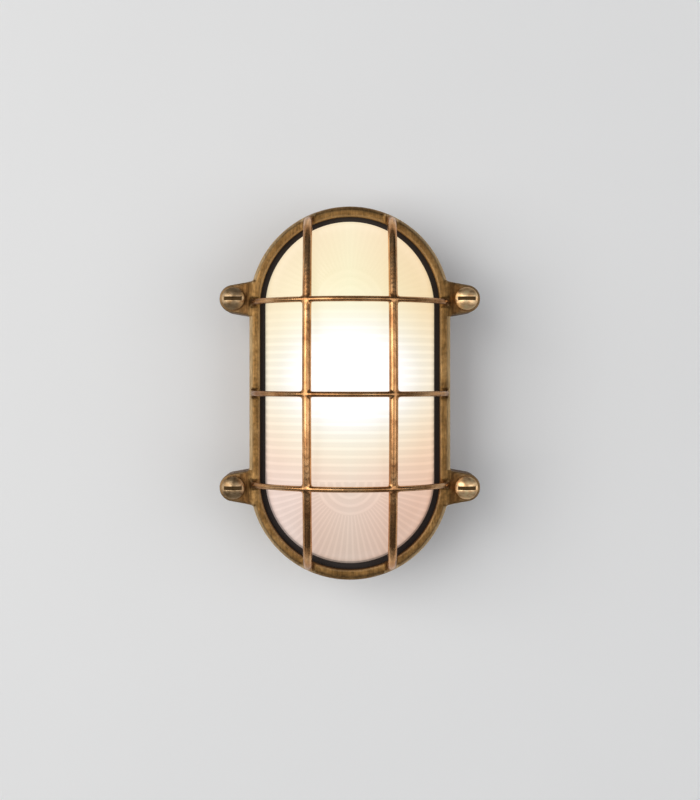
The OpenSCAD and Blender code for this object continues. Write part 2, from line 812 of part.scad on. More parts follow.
// Runs from a terminal pole round the side of the box and down to a holder post
module lead(side, depth) {
    run_x = side * (box_in - 8);
    run_z = back_t + wire_d;
    tail_y = holder_y - wire_h;
    wire([
        [side * pole_pitch, block_y + tube_l / 4 + 2, tube_z],
        [side * pole_pitch, block_y + block_depth / 2, tube_z],
        [side * pole_pitch, block_y + block_depth / 2 + 3, tube_z],
        [side * (pole_pitch + 6), block_y + block_depth / 2 + 5, tube_z - 3],
        [side * (pole_pitch + 16), block_y + 6, run_z + 4],
        [side * (pole_pitch + 24), block_y - 8, run_z],
        [run_x, half_l, run_z],
        [run_x, 0, run_z],
        [run_x, -half_l, run_z],
        [side * (bracket_w / 2 + 16), holder_y + 4, run_z + 4],
        [side * (bracket_w / 2 + 8), tail_y, (run_z + depth) / 2],
        [side * (bracket_w / 2 - 2), tail_y, depth - 2],
        [side * post_r * 2.5, tail_y, depth],
        [side * post_r / 2, tail_y, depth]
    ]);
}

module live_wire() {
    color("#6b4226") lead(-1, lamp_z - post_z);
}

module neutral_wire() {
    color("#3d6fa8") lead(1, lamp_z + post_z);
}

module earth_wire() {
    aim = [cos(barrel_turn), sin(barrel_turn)];
    mouth = m4[1] / 2 + 0.8 + barrel_out;
    tag = [earth_x, earth_y];
    height = earth_z + barrel_r;
    reaches = [mouth + 1, mouth + barrel_l, mouth + barrel_l + 2];
    in_barrel = [for (r = reaches) [(tag + r * aim).x, (tag + r * aim).y, height]];
    color("#5d9a3a") wire(concat(in_barrel, [
        [pole_pitch / 2, block_y - block_depth / 2 - earth_bow, (height + tube_z) / 2],
        [0, block_y - block_depth / 2 - 3, tube_z],
        [0, block_y - block_depth / 2, tube_z],
        [0, block_y - tube_l / 4 - 2, tube_z]
    ]));
}

// Grommet: a grooved rubber ring that lines the cable hole
module cable_grommet() {
    lip = 2;
    neck_r = grommet_hole_d / 2 - seat_fit;
    color("#1d1a17") translate([0, cable_y, 0]) rotate_extrude() difference() {
        union() {
            translate([cable_d / 2, 0.2]) square([neck_r - cable_d / 2, back_t]);
            translate([cable_d / 2, back_t + 0.2]) square([neck_r + lip - cable_d / 2, lip]);
        }
        translate([neck_r + lip, back_t + 0.2 + lip]) circle(r = lip / 2);
    }
}

on_wall() box_casting();
on_wall() guard_casting();
on_wall() glass_dome();
on_wall() glass_gasket();
on_wall() guard_screws();
on_wall() lamp();
on_wall() holder_body();
on_wall() holder_shell();
on_wall() centre_contact();
on_wall() holder_posts();
on_wall() post_screws();
on_wall() holder_bracket();
on_wall() holder_screws();
on_wall() bracket_screws();
on_wall() bracket_washers();
on_wall() terminal_block();
on_wall() terminal_tubes();
on_wall() clamp_screws();
on_wall() block_screws();
on_wall() earth_screw();
on_wall() earth_washer();
on_wall() earth_tag();
on_wall() live_wire();
on_wall() neutral_wire();
on_wall() earth_wire();
on_wall() cable_grommet();
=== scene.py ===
"""Dresses the oval bulkhead light: castings, pressed glass, screws, rubber and the parts inside."""
import logging
import math
from dataclasses import dataclass, field
from enum import Enum
from typing import Union

import bmesh
import bpy
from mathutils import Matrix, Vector


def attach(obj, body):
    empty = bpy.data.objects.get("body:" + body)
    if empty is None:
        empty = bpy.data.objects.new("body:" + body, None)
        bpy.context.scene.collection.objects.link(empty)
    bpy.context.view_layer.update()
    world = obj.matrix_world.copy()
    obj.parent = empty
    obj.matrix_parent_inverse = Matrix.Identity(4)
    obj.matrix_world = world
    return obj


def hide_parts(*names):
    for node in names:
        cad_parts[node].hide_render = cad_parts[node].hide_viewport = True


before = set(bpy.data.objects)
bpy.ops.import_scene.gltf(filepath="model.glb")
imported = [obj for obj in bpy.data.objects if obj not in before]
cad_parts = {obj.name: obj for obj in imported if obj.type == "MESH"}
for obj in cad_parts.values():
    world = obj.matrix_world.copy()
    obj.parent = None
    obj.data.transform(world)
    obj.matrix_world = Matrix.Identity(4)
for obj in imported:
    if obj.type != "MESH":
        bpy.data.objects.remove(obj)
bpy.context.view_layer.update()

LOG = logging.getLogger("bulkhead_light")
MM = 0.001
WHITE = "#ffffff"
BLACK = "#000000"
WHOLE_TURN = 2 * math.pi
MERGE_MM = 0.002
FLAT_DEGREES = 0.5
EDGE_DEGREES = 40.0
EDGE_STEPS = 2

Socket = bpy.types.NodeSocket
Feed = Union[Socket, float, tuple]
Span = tuple[Feed, Feed]
Stops = tuple[tuple[float, str], ...]
Point = tuple[float, float, float]


@dataclass(frozen=True)
class Layout:
    """Sizes that several pieces share, in millimetres."""

    half_l: float = 55.5
    glass_lift: float = 1.0
    rib: float = 5.0
    boss: float = 21.0
    flutes: int = 36
    lug_x: float = 74.9
    lug_z: float = 60.7


OVAL = Layout()


def linear(code: str) -> tuple[float, float, float, float]:
    """Turns an sRGB hex colour to linear.

    Args:
        code: Colour as "#rrggbb".

    Returns:
        Linear red, green and blue, and an alpha of 1.
    """
    parts = [int(code[i:i + 2], 16) / 255 for i in (1, 3, 5)]
    red, green, blue = [p / 12.92 if p <= 0.04045 else ((p + 0.055) / 1.055) ** 2.4 for p in parts]
    return (red, green, blue, 1.0)


def mm(*sizes: float) -> tuple[float, ...]:
    """Turns millimetres to metres.

    Args:
        *sizes: Sizes in millimetres.

    Returns:
        The sizes in metres.
    """
    return tuple(size * MM for size in sizes)


@dataclass
class Nodes:
    """A node tree, with short ways to add what most finishes are made of."""

    tree: bpy.types.NodeTree

    def feed(self, node: bpy.types.Node, feeds: dict[int | str, Feed]) -> None:
        """Sets or links the inputs of a node.

        Args:
            node: The node.
            feeds: Socket name or number, and the value or socket that feeds it.
        """
        for key, value in feeds.items():
            if isinstance(value, Socket):
                self.tree.links.new(value, node.inputs[key])
            else:
                node.inputs[key].default_value = value

    def add(self, kind: str, feeds: dict[int | str, Feed] | None = None,
            **settings: object) -> bpy.types.Node:
        """Adds a shader node, sets it up and links it.

        Args:
            kind: Node type, without the words ShaderNode.
            feeds: Socket name or number, and the value or socket that feeds it.
            **settings: Attributes of the node.

        Returns:
            The new node.
        """
        node = self.tree.nodes.new("ShaderNode" + kind)
        for name, value in settings.items():
            setattr(node, name, value)
        self.feed(node, feeds or {})
        return node

    def calc(self, operation: str, *values: Feed, clamp: bool = False) -> Socket:
        """Does one sum.

        Args:
            operation: What is done, as the Math node names it.
            *values: What it is done to.
            clamp: Whether the result is kept from 0 to 1.

        Returns:
            The result.
        """
        return self.add("Math", dict(enumerate(values)), operation=operation, use_clamp=clamp).outputs[0]

    def remap(self, value: Feed, ends: Span = (0.0, 1.0), to: Span = (0.0, 1.0),
              soft: bool = False) -> Socket:
        """Carries a range of values over to another, and holds it at both ends.

        Args:
            value: The value.
            ends: Where its range starts and stops.
            to: What these two become.
            soft: Whether it eases in and out.

        Returns:
            The new value.
        """
        feeds = {"Value": value, "From Min": ends[0], "From Max": ends[1], "To Min": to[0], "To Max": to[1]}
        curve = "SMOOTHSTEP" if soft else "LINEAR"
        return self.add("MapRange", feeds, interpolation_type=curve).outputs[0]

    def blend(self, share: Feed, start: Feed, stop: Feed, kind: str = "RGBA", way: str = "MIX") -> Socket:
        """Mixes two colours, vectors or values.

        Args:
            share: How much of the second.
            start: The first.
            stop: The second.
            kind: Data type of both.
            way: How colours are mixed.

        Returns:
            The mixture.
        """
        feeds = {"Factor": share, "A": start, "B": stop}
        return self.add("Mix", feeds, data_type=kind, blend_type=way).outputs["Result"]

    def ramp(self, value: Feed, stops: Stops) -> Socket:
        """Colours a value.

        Args:
            value: The value, from 0 to 1.
            stops: Places from 0 to 1 with their hex colours.

        Returns:
            The colour.
        """
        node = self.add("ValToRGB", {"Fac": value})
        elements = node.color_ramp.elements
        while len(elements) < len(stops):
            elements.new(0.5)
        for element, (place, code) in zip(elements, stops):
            element.position = place
            element.color = linear(code)
        return node.outputs["Color"]

    def noise(self, place: Feed, size: float, detail: float, rough: float = 0.5) -> Socket:
        """Adds a cloudy pattern.

        Args:
            place: Where on the piece.
            size: Size of its largest spots, in millimetres.
            detail: How many finer layers it has.
            rough: How strong these are.

        Returns:
            A value about 0.5.
        """
        feeds = {"Vector": place, "Scale": 1 / (size * MM), "Detail": detail, "Roughness": rough}
        return self.add("TexNoise", feeds).outputs["Fac"]

    def place(self) -> Socket:
        """Finds where on the piece a point is.

        Returns:
            The place in the piece's own axes, in metres.
        """
        return self.add("TexCoord").outputs["Object"]

    def stretch(self, place: Feed, scale: Point, turn: Point = (0.0, 0.0, 0.0)) -> Socket:
        """Draws a pattern out along an axis.

        Args:
            place: Where on the piece.
            scale: Scale of each axis.
            turn: Turn about each axis, in radians.

        Returns:
            The place to draw the pattern from.
        """
        return self.add("Mapping", {"Vector": place, "Rotation": turn, "Scale": scale}).outputs["Vector"]

    def length(self, **axes: Feed) -> Socket:
        """Measures how far a point is from the origin.

        Args:
            **axes: The point's X, Y and Z, of which any may be left out.

        Returns:
            The distance.
        """
        spot = self.add("CombineXYZ", axes).outputs[0]
        return self.add("VectorMath", {0: spot}, operation="LENGTH").outputs["Value"]

    def split(self, vector: Feed) -> bpy.types.NodeOutputs:
        """Takes a vector apart.

        Args:
            vector: The vector.

        Returns:
            Its values, by "X", "Y" and "Z".
        """
        return self.add("SeparateXYZ", {0: vector}).outputs

    def scaled(self, colour: Feed, share: Feed) -> Socket:
        """Makes a colour brighter or darker.

        Args:
            colour: The colour.
            share: What it is multiplied by.

        Returns:
            The new colour.
        """
        return self.add("VectorMath", {0: colour, "Scale": share}, operation="SCALE").outputs["Vector"]

    def bump(self, height: Feed, strength: Feed, depth: float) -> Socket:
        """Roughens the surface.

        Args:
            height: Height of the pattern.
            strength: How much of it shows.
            depth: Height of its highest points, in millimetres.

        Returns:
            The new normal.
        """
        feeds = {"Height": height, "Strength": strength, "Distance": depth * MM}
        return self.add("Bump", feeds).outputs["Normal"]


def new_material(name: str) -> tuple[bpy.types.Material, Nodes, bpy.types.Node]:
    """Starts a material.

    Args:
        name: Name of the material.

    Returns:
        The material, its nodes and its Principled shader.
    """
    material = bpy.data.materials.new(name + "_finish")
    material.use_nodes = True
    tree = material.node_tree
    return material, Nodes(tree), tree.nodes["Principled BSDF"]


class Grain(Enum):
    """How the surface of a plain moulded or fired piece was left, as the size of its spots."""

    MOULDED = 1.2
    GLAZED = 6.0
    DRAWN = 0.6


@dataclass(frozen=True)
class CastBrass:
    """Sand-cast brass, ground on the rim, polished round the bars and left to tone.

    The eye gets brown, slightly streaked faces, brighter bars with polish marks along them, cross bars
    darkened as painted shade, sharp edges paled by wear and a painted highlight, a painted highlight on
    the rim's bevel and the lugs' lip, darker lugs, and painted shade in the corners.
    """

    name: str = "cast_brass"
    rim_tone: Stops = ((0.24, "#674b2a"), (0.5, "#88663b"), (0.8, "#a17e50"))
    bar_tone: Stops = ((0.34, "#ab764a"), (0.5, "#d69f6a"), (0.68, "#e6b887"))
    # Pale colour of edge wear and of the painted highlights on the bevel and lip.
    rubbed_and_lit: str = "#dfc193"
    edge_wear_and_highlight: float = 0.7
    edge_ends: Span = (0.512, 0.58)
    lug_tone: str = "#644527"
    # Colour of the painted shade in concave corners.
    corner_shade: str = "#2e1d0e"
    corner_shade_share: float = 0.4
    corner_ends: Span = (0.48, 0.38)
    cloud: float = 14.0
    cloud_detail: float = 6.0
    cloud_rough: float = 0.62
    gloss_drift: Span = (0.06, -0.05)
    middle: Span = (0.3, 0.7)
    sand: float = 0.9
    sand_detail: float = 3.0
    speck: float = 1.8
    file_mark: float = 0.8
    mark_detail: float = 2.0
    mark_ends: Span = (0.7, 1.3)
    rim_streak: Span = (0.56, 1.3)
    bevel_highlight_share: Span = (0.4, 0.95)
    side_ends: Span = (0.15, 0.6)
    file_turn: Point = (0.0, 0.45, 0.0)
    file_draw: Point = (1.0, 1.0, 0.08)
    brush: float = 1.1
    brush_detail: float = 1.0
    brush_ends: Span = (0.35, 0.65)
    bar_streak: Span = (0.7, 1.1)
    brush_down: Point = (1.0, 0.1, 0.018)
    brush_level: Point = (0.018, 0.1, 1.0)
    ground: float = 0.5
    polished: float = 0.27
    # Cross bars are darkened to this share as painted shade.
    cross_bar_shade_share: float = 0.74
    rim_face: float = 62.5
    rim_r: float = 64.5
    bevel: float = 2.4
    bevel_edge: Span = (-0.3, 0.9)
    front_edge: Span = (5.0, 3.2)
    upright_x: float = 26.5
    upright_d: float = 5.8
    bar_margin: float = 0.1
    bar_fade: float = 6.0
    bar_start: float = 0.8
    lug_root: float = 23.0
    lug_share: float = 0.75
    lug_edge: Span = (0.2, 1.4)
    lip: Span = (7.6, 8.8)
    lip_edge: Span = (-5.0, 1.0)
    lip_share: float = 0.6
    grain_depth: float = 0.12
    grain_share: Span = (0.3, 0.05)

    def lip_highlight_mask(self, nodes: Nodes, wide: Socket, tall: Socket) -> Socket:
        """Finds the lip round the outer end of each lug, where a highlight is painted.

        Args:
            nodes: The material's nodes.
            wide: Distance from the middle to either side, in metres.
            tall: Distance from the middle up or down, in metres.

        Returns:
            A mask from 0 to 1.
        """
        off_x = nodes.calc("SUBTRACT", wide, OVAL.lug_x * MM)
        off_z = nodes.calc("SUBTRACT", tall, OVAL.lug_z * MM)
        rounded = nodes.remap(nodes.length(X=off_x, Y=off_z), mm(*self.lip))
        ends = mm(*[OVAL.lug_x + off for off in self.lip_edge])
        ended = nodes.remap(wide, ends, (0.0, self.lip_share))
        return nodes.calc("MULTIPLY", rounded, ended)

    def places(self, nodes: Nodes, place: Socket) -> dict[str, Socket]:
        """Finds the bars, the bevel and the lugs by where they are on the casting.

        Args:
            nodes: The material's nodes.
            place: Place on the casting.

        Returns:
            Masks from 0 to 1 for the bars, the rim's bevel, the lugs, the cross bars alone and the
            lug ends' lip.
        """
        axes = nodes.split(place)
        out = axes["Y"]
        tall = nodes.calc("ABSOLUTE", axes["Z"])
        wide = nodes.calc("ABSOLUTE", axes["X"])
        bars = nodes.remap(out, mm(-self.rim_face, -(self.rim_face + self.bar_fade)))
        past = nodes.calc("SUBTRACT", tall, OVAL.half_l * MM)
        reach = nodes.length(X=axes["X"], Y=nodes.calc("MAXIMUM", past, 0.0))
        start = self.rim_r - self.bevel
        near = nodes.remap(reach, mm(*[start + off for off in self.bevel_edge]))
        lug_ends = mm(*[self.rim_r + off for off in self.lug_edge])
        lugs = nodes.remap(reach, lug_ends, (0.0, self.lug_share))
        front = nodes.remap(out, mm(*[off - self.rim_face for off in self.front_edge]))
        at_lug = nodes.calc("COMPARE", tall, *mm(OVAL.lug_z, self.lug_root / 2))
        bevel = nodes.calc("MULTIPLY", nodes.calc("SUBTRACT", near, at_lug, clamp=True), front)
        upright = nodes.calc("COMPARE", wide, *mm(self.upright_x, self.upright_d / 2 + self.bar_margin))
        raised = nodes.calc("LESS_THAN", out, -(self.rim_face + self.bar_start) * MM)
        across = nodes.calc("SUBTRACT", raised, upright, clamp=True)
        lip = nodes.calc("MULTIPLY", self.lip_highlight_mask(nodes, wide, tall), front)
        return {"bars": bars, "bevel": bevel, "lugs": lugs, "across": across, "lip": lip}

    def wear_and_highlights(self, nodes: Nodes, masks: dict[str, Socket], filed: Socket, point: Socket) -> Socket:
        """Finds where the metal is painted pale: sharp edges, as wear and a painted highlight, and the
        rim's bevel where it faces sideways and the lug lip, as painted highlights.

        Args:
            nodes: The material's nodes.
            masks: Masks of the casting's places.
            filed: Pattern of the file marks.
            point: How sharp the surface is.

        Returns:
            A mask from 0 to 1.
        """
        # Sharp edges are wear and a painted highlight; the sideways bevel and the lip are painted
        # highlights.
        edge = nodes.remap(point, self.edge_ends, (0.0, self.edge_wear_and_highlight))
        rubbed_and_lit = nodes.remap(filed, self.middle, self.bevel_highlight_share)
        facing = nodes.split(nodes.add("NewGeometry").outputs["True Normal"])
        side_lit = nodes.remap(nodes.calc("ABSOLUTE", facing["X"]), self.side_ends)
        on_bevel = nodes.calc("MULTIPLY", nodes.calc("MULTIPLY", masks["bevel"], rubbed_and_lit), side_lit)
        return nodes.calc("MAXIMUM", edge, nodes.calc("MAXIMUM", on_bevel, masks["lip"]))

    def material(self) -> bpy.types.Material:
        """Builds the material.

        Returns:
            Metal with cloudy toning, sand grain, file marks, pale edges from wear and painted highlights,
            and painted shade in the corners and on the cross bars.
        """
        material, nodes, shader = new_material(self.name)
        place = nodes.place()
        masks = self.places(nodes, place)
        bars = masks["bars"]
        cloud = nodes.noise(place, self.cloud, self.cloud_detail, self.cloud_rough)
        lugged = nodes.blend(masks["lugs"], nodes.ramp(cloud, self.rim_tone), linear(self.lug_tone))
        tone = nodes.blend(bars, lugged, nodes.ramp(cloud, self.bar_tone))
        sand = nodes.noise(place, self.sand, self.sand_detail)
        drawn = nodes.stretch(place, self.file_draw, self.file_turn)
        filed = nodes.noise(drawn, self.file_mark, self.mark_detail)
        down = nodes.stretch(place, self.brush_down)
        level = nodes.stretch(place, self.brush_level)
        along = nodes.blend(masks["across"], down, level, "VECTOR")
        brushed = nodes.noise(along, self.brush, self.brush_detail)
        marked = nodes.calc("ADD", filed, nodes.noise(place, self.speck, self.mark_detail))
        rim_streak = nodes.remap(marked, self.mark_ends, self.rim_streak)
        bar_streak = nodes.remap(brushed, self.brush_ends, self.bar_streak)
        streak = nodes.blend(bars, rim_streak, bar_streak, "FLOAT")
        # Painted shade: the cross bars darker than the uprights.
        cross_bar_shade = nodes.remap(masks["across"], to=(1.0, self.cross_bar_shade_share))
        streaked = nodes.scaled(tone, nodes.calc("MULTIPLY", streak, cross_bar_shade))
        point = nodes.add("NewGeometry").outputs["Pointiness"]
        off_bars = nodes.calc("SUBTRACT", 1.0, bars)
        # Pale edge wear and painted highlights, kept off the bars.
        worn_and_lit = nodes.calc("MULTIPLY", self.wear_and_highlights(nodes, masks, filed, point), off_bars)
        paled = nodes.blend(worn_and_lit, streaked, linear(self.rubbed_and_lit))
        # Painted shade in concave corners, kept off the bars.
        low = nodes.remap(point, self.corner_ends, (0.0, self.corner_shade_share))
        with_painted_shade = nodes.blend(nodes.calc("MULTIPLY", low, off_bars), paled, linear(self.corner_shade))
        smooth = nodes.remap(bars, to=(self.ground, self.polished))
        drift = nodes.remap(cloud, self.middle, self.gloss_drift)
        grain = nodes.remap(bars, to=self.grain_share)
        nodes.feed(shader, {
            "Base Color": with_painted_shade,
            "Metallic": 1.0,
            "Roughness": nodes.calc("ADD", smooth, drift),
            "Normal": nodes.bump(nodes.calc("ADD", sand, filed), grain, self.grain_depth),
        })
        return material


@dataclass(frozen=True)
class TurnedBrass:
    """Brass turned on a lathe: yellow metal whose fine rings draw two bright wedges on each head."""

    name: str = "turned_brass"
    tone: Stops = ((0.3, "#c49c6e"), (0.6, "#ecc99c"))
    # Colour of the painted shade in the screw slots.
    slot_shade: str = "#43331f"
    age: Span = (0.54, 1.3)
    dome_out: float = 53.28
    dome_r: float = 10.92
    slot_r: float = 6.9
    slot_depth: Span = (0.2, 0.6)
    ring: float = 0.5
    ring_depth: float = 0.02
    ring_share: float = 0.25
    smear: float = 3.0
    smear_detail: float = 4.0
    spread: float = 0.75
    roughness: Span = (0.24, 0.4)

    def material(self) -> bpy.types.Material:
        """Builds the material.

        Returns:
            Metal whose gloss spreads across the rings round the nearest guard screw's axis, with painted
            shade in the slots.
        """
        material, nodes, shader = new_material(self.name)
        place = nodes.place()
        axes = nodes.split(place)
        reach = {}
        turn = {}
        for letter, centre in (("X", OVAL.lug_x), ("Z", OVAL.lug_z)):
            size = nodes.calc("ABSOLUTE", axes[letter])
            reach[letter] = nodes.calc("SUBTRACT", size, centre * MM)
            turn[letter] = nodes.calc("MULTIPLY", reach[letter], nodes.calc("SIGN", axes[letter]))
        radius = nodes.length(**reach)
        outward = nodes.add("CombineXYZ", turn).outputs[0]
        tangent = nodes.add("VectorMath", {0: outward}, operation="NORMALIZE").outputs["Vector"]
        rings = nodes.calc("SINE", nodes.calc("MULTIPLY", radius, WHOLE_TURN / (self.ring * MM)))
        smear = nodes.noise(place, self.smear, self.smear_detail)
        depth = nodes.length(Y=nodes.calc("ADD", axes["Y"], self.dome_out * MM), **reach)
        # Painted shade where the slot sinks below the head's dome.
        sunk = nodes.remap(depth, mm(*[self.dome_r - off for off in self.slot_depth]))
        on_face = nodes.calc("LESS_THAN", radius, self.slot_r * MM)
        # Darker towards the left screws, brighter towards the right.
        age = nodes.remap(axes["X"], mm(-OVAL.lug_x, OVAL.lug_x), self.age)
        side_scaled = nodes.scaled(nodes.ramp(smear, self.tone), age)
        nodes.feed(shader, {
            "Base Color": nodes.blend(nodes.calc("MULTIPLY", sunk, on_face), side_scaled, linear(self.slot_shade)),
            "Metallic": 1.0,
            "Roughness": nodes.remap(smear, to=self.roughness),
            "Tangent": tangent,
            "Anisotropic": self.spread,
            "Normal": nodes.bump(rings, self.ring_share, self.ring_depth),
        })
        return material


@dataclass(frozen=True)
class PressedGlass:
    """Pressed and frosted glass, its lamp's light painted on as a glow: white round the lamp, cream above,
    peach at the rim.

    Places are in millimetres from the middle of the glass.
    """

    name: str = "pressed_glass"
    body: Stops = ((0.2, "#46413b"), (0.8, "#544e47"))
    glow_ends: Span = (-115.0, 115.0)
    glow: Stops = (
        (0.0, "#cbb5a6"), (0.09, "#d9c2b3"), (0.2, "#e6cebf"), (0.28, "#f1decb"), (0.35, "#f7e8d1"),
        (0.46, "#f9eed2"), (0.58, "#f9f1cf"), (0.78, "#f5efc8"), (0.95, "#f9ebc9"))
    tint_ends: Span = (-50.0, 50.0)
    tint: Stops = (
        (0.0, "#fff4f5"), (0.36, "#fffaf8"), (0.5, WHITE), (0.62, "#fff9f7"), (1.0, "#fce7db"))
    haze_x: Span = (-18.0, -36.0)
    haze_z: Span = (-42.0, -68.0)
    haze: float = 0.2
    lamp_z: float = 9.5
    hot_width: float = 0.8
    hot_ends: Span = (66.0, 17.0)
    blaze: Stops = ((0.0, "#fbf8dc"), (0.6, "#fdfdf2"), (0.9, WHITE))
    glare_start: float = 0.7
    glare: float = 0.12
    crest_start: float = -0.15
    crest_ends: Span = (55.0, 30.0)
    crest_gain: Span = (0.015, 0.09)
    level: float = 0.97
    shade_ends: Span = (-80.0, 85.0)
    shade: Span = (0.42, 0.9)
    rim_ends: Span = (-58.0, -71.0)
    frost: float = 0.8
    frost_detail: float = 3.0
    frost_depth: float = 0.05
    frost_share: float = 0.12
    roughness: Span = (0.32, 0.5)
    ior: float = 1.5

    def pattern(self, nodes: Nodes, x: Socket, z: Socket) -> Socket:
        """Draws the painted highlights that gather on the crests of the ribs, flutes and rings.

        Args:
            nodes: The material's nodes.
            x: Distance across, in metres.
            z: Height over the glass's middle, in metres.

        Returns:
            A value from 0 in the hollows to 1 on the crests.
        """
        per_rib = WHOLE_TURN / (OVAL.rib * MM)
        past = nodes.calc("SUBTRACT", nodes.calc("ABSOLUTE", z), OVAL.half_l * MM)
        row = nodes.calc("MULTIPLY", z, per_rib)
        angle = nodes.calc("ARCTAN2", past, x)
        fan = nodes.calc("MULTIPLY_ADD", angle, 2.0 * OVAL.flutes, math.pi)
        reach = nodes.length(X=x, Y=past)
        from_boss = nodes.calc("SUBTRACT", reach, (OVAL.boss - OVAL.rib / 4) * MM)
        rings = nodes.calc("MULTIPLY", from_boss, per_rib)
        in_boss = nodes.calc("LESS_THAN", reach, OVAL.boss * MM)
        in_end = nodes.calc("GREATER_THAN", past, 0.0)
        end = nodes.blend(in_boss, fan, rings, "FLOAT")
        crest = nodes.calc("COSINE", nodes.blend(in_end, row, end, "FLOAT"))
        return nodes.remap(crest, (self.crest_start, 1.0), soft=True)

    def light(self, nodes: Nodes, x: Socket, z: Socket, painted_hotspot: Socket) -> Socket:
        """Colours the painted glow that stands for the lamp's light through the glass.

        Args:
            nodes: The material's nodes.
            x: Distance across, in metres.
            z: Height over the glass's middle, in metres.
            painted_hotspot: How near the lamp is, from 0 to 1.

        Returns:
            The colour.
        """
        glow = nodes.ramp(nodes.remap(z, mm(*self.glow_ends)), self.glow)
        tint = nodes.ramp(nodes.remap(x, mm(*self.tint_ends)), self.tint)
        warmed = nodes.blend(1.0, glow, tint, way="MULTIPLY")
        left = nodes.remap(x, mm(*self.haze_x), (0.0, self.haze))
        haze = nodes.calc("MULTIPLY", left, nodes.remap(z, mm(*self.haze_z)))
        tinted = nodes.blend(haze, warmed, linear(WHITE))
        return nodes.blend(painted_hotspot, tinted, nodes.ramp(painted_hotspot, self.blaze))

    def material(self) -> bpy.types.Material:
        """Builds the material.

        Returns:
            Frosted glass with a painted glow of the lamp's light, placed where the lamp stands behind it,
            painted highlights on the crests and painted shade lower down and towards the flange.
        """
        material, nodes, shader = new_material(self.name)
        place = nodes.place()
        centred = nodes.add("Mapping", {"Vector": place, "Location": (0.0, 0.0, -OVAL.glass_lift * MM)})
        axes = nodes.split(centred.outputs["Vector"])
        x, z = axes["X"], axes["Z"]
        off = nodes.calc("SUBTRACT", z, self.lamp_z * MM)
        away = nodes.length(X=nodes.calc("MULTIPLY", x, self.hot_width), Y=off)
        painted_hotspot = nodes.remap(away, mm(*self.hot_ends), soft=True)
        depth = nodes.remap(z, mm(*self.crest_ends), self.crest_gain)
        gain = nodes.calc("MULTIPLY", self.pattern(nodes, x, z), depth)
        even = nodes.calc("ADD", gain, nodes.calc("SUBTRACT", self.level, depth))
        # Painted glare near the lamp, and painted shade lower down and towards the flange.
        glare = nodes.remap(painted_hotspot, (self.glare_start, 1.0), (0.0, self.glare))
        shade = nodes.remap(z, mm(*self.shade_ends), self.shade)
        rim = nodes.remap(axes["Y"], mm(*self.rim_ends), (shade, 1.0), soft=True)
        dimmed = nodes.calc("MULTIPLY", nodes.calc("ADD", glare, even), rim)
        frost = nodes.noise(place, self.frost, self.frost_detail)
        # The emission is painted light: the lamp's glow through the glass, which is no lamp itself.
        nodes.feed(shader, {
            "Emission Color": nodes.scaled(self.light(nodes, x, z, painted_hotspot), dimmed),
            "Emission Strength": 1.0,
            "Base Color": nodes.ramp(frost, self.body),
            "Roughness": nodes.remap(frost, to=self.roughness),
            "IOR": self.ior,
            "Normal": nodes.bump(frost, self.frost_share, self.frost_depth),
        })
        return material


@dataclass(frozen=True)
class GasketRubber:
    """Moulded black rubber, tinted warm all over as painted lamp light, with a dusty bloom."""

    name: str = "gasket_rubber"
    tone: Stops = ((0.35, "#170d08"), (0.75, "#261811"))
    grain: float = 1.6
    grain_detail: float = 5.0
    grain_depth: float = 0.1
    grain_share: float = 0.2
    roughness: Span = (0.55, 0.8)

    def material(self) -> bpy.types.Material:
        """Builds the material.

        Returns:
            Dull rubber with a fine moulded grain.
        """
        material, nodes, shader = new_material(self.name)
        dust = nodes.noise(nodes.place(), self.grain, self.grain_detail)
        nodes.feed(shader, {
            "Base Color": nodes.ramp(dust, self.tone),
            "Roughness": nodes.remap(dust, to=self.roughness),
            "Normal": nodes.bump(dust, self.grain_share, self.grain_depth),
        })
        return material


@dataclass(frozen=True)
class PlainFinish:
    """A moulded, fired or drawn surface of one colour that drifts a little, with a fine grain."""

    name: str
    pale: str
    deep: str
    grain: Grain
    metallic: float = 0.0
    roughness: Span = (0.35, 0.5)
    glow: str = ""
    grain_detail: float = 4.0
    grain_depth: float = 0.05
    grain_share: float = 0.1

    def material(self) -> bpy.types.Material:
        """Builds the material.

        Returns:
            The surface with its drift of colour and gloss, and its glow if it has one.
        """
        material, nodes, shader = new_material(self.name)
        drift = nodes.noise(nodes.place(), self.grain.value, self.grain_detail)
        nodes.feed(shader, {
            "Base Color": nodes.ramp(drift, ((0.3, self.deep), (0.7, self.pale))),
            "Metallic": self.metallic,
            "Roughness": nodes.remap(drift, to=self.roughness),
            "Normal": nodes.bump(drift, self.grain_share, self.grain_depth),
        })
        if self.glow:
            light = nodes.ramp(drift, ((0.2, self.glow), (0.9, WHITE)))
            nodes.feed(shader, {"Emission Color": light, "Emission Strength": 1.0})
        return material


def clear_selection() -> None:
    """Leaves edit mode and deselects everything."""
    if bpy.context.object and bpy.context.object.mode != "OBJECT":
        bpy.ops.object.mode_set(mode="OBJECT")
    bpy.ops.object.select_all(action="DESELECT")


def take_up(piece: bpy.types.Object) -> None:
    """Selects one piece and makes it active.

    Args:
        piece: The piece.
    """
    clear_selection()
    piece.select_set(True)
    bpy.context.view_layer.objects.active = piece


def edit_all(piece: bpy.types.Object) -> None:
    """Opens a piece for editing with all of its mesh selected.

    Args:
        piece: The piece.
    """
    take_up(piece)
    bpy.ops.object.mode_set(mode="EDIT")
    bpy.ops.mesh.select_all(action="SELECT")


def apply_modifier(piece: bpy.types.Object, kind: str, **settings: object) -> None:
    """Puts a modifier on a piece and applies it.

    Args:
        piece: The piece.
        kind: Modifier type.
        **settings: Attributes of the modifier.
    """
    modifier = piece.modifiers.new(kind.lower(), kind)
    for name, value in settings.items():
        setattr(modifier, name, value)
    take_up(piece)
    bpy.ops.object.modifier_apply(modifier=modifier.name)


